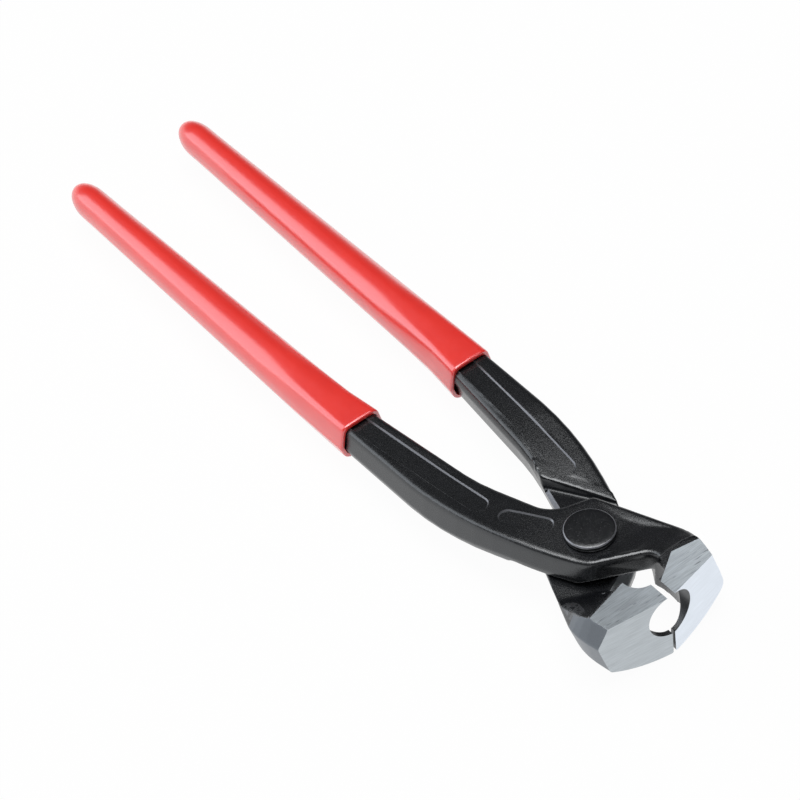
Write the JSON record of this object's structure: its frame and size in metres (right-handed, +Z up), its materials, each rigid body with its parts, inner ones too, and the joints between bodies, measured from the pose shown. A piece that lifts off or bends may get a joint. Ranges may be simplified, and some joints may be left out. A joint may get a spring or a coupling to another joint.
{
  "type": "ear clamp pliers",
  "caption": "Riveted lap-joint pincers with slim dipped grips; a round hole across the jaw slit and a hollow behind it squeeze the ear of a hose clamp.",
  "frame": {"origin": "middle of the length and the width, at the lowest point of the jaws' rounded underside", "axes": "+X along the tool from the grips to the jaws, +Y across the handles, +Z up along the rivet, square to the lap joint"},
  "size_m": [0.2199, 0.0464, 0.0199],
  "materials": {
    "front_steel": "forged steel, blackened to a satin sheen, jaw facets and front ground bright",
    "rear_steel": "forged steel, blackened to a satin sheen, jaw facets and front ground bright",
    "rivet_steel": "steel, blackened, thin bright rim",
    "front_dip": "dipped soft vinyl, glossy red",
    "rear_dip": "dipped soft vinyl, glossy red"
  },
  "bodies": {
    "front": {"front_lever": "front_steel", "front_grip": "front_dip", "rivet": "rivet_steel"},
    "rear": {"rear_lever": "rear_steel", "rear_grip": "rear_dip"}
  },
  "joints": [
    {"name": "jaw_hinge", "type": "hinge", "parent": "front", "child": "rear", "pos_m": [0.0803, 0, 0.0106], "axis": [0, 0, -1], "range_deg": [-1, 30]}
  ]
}
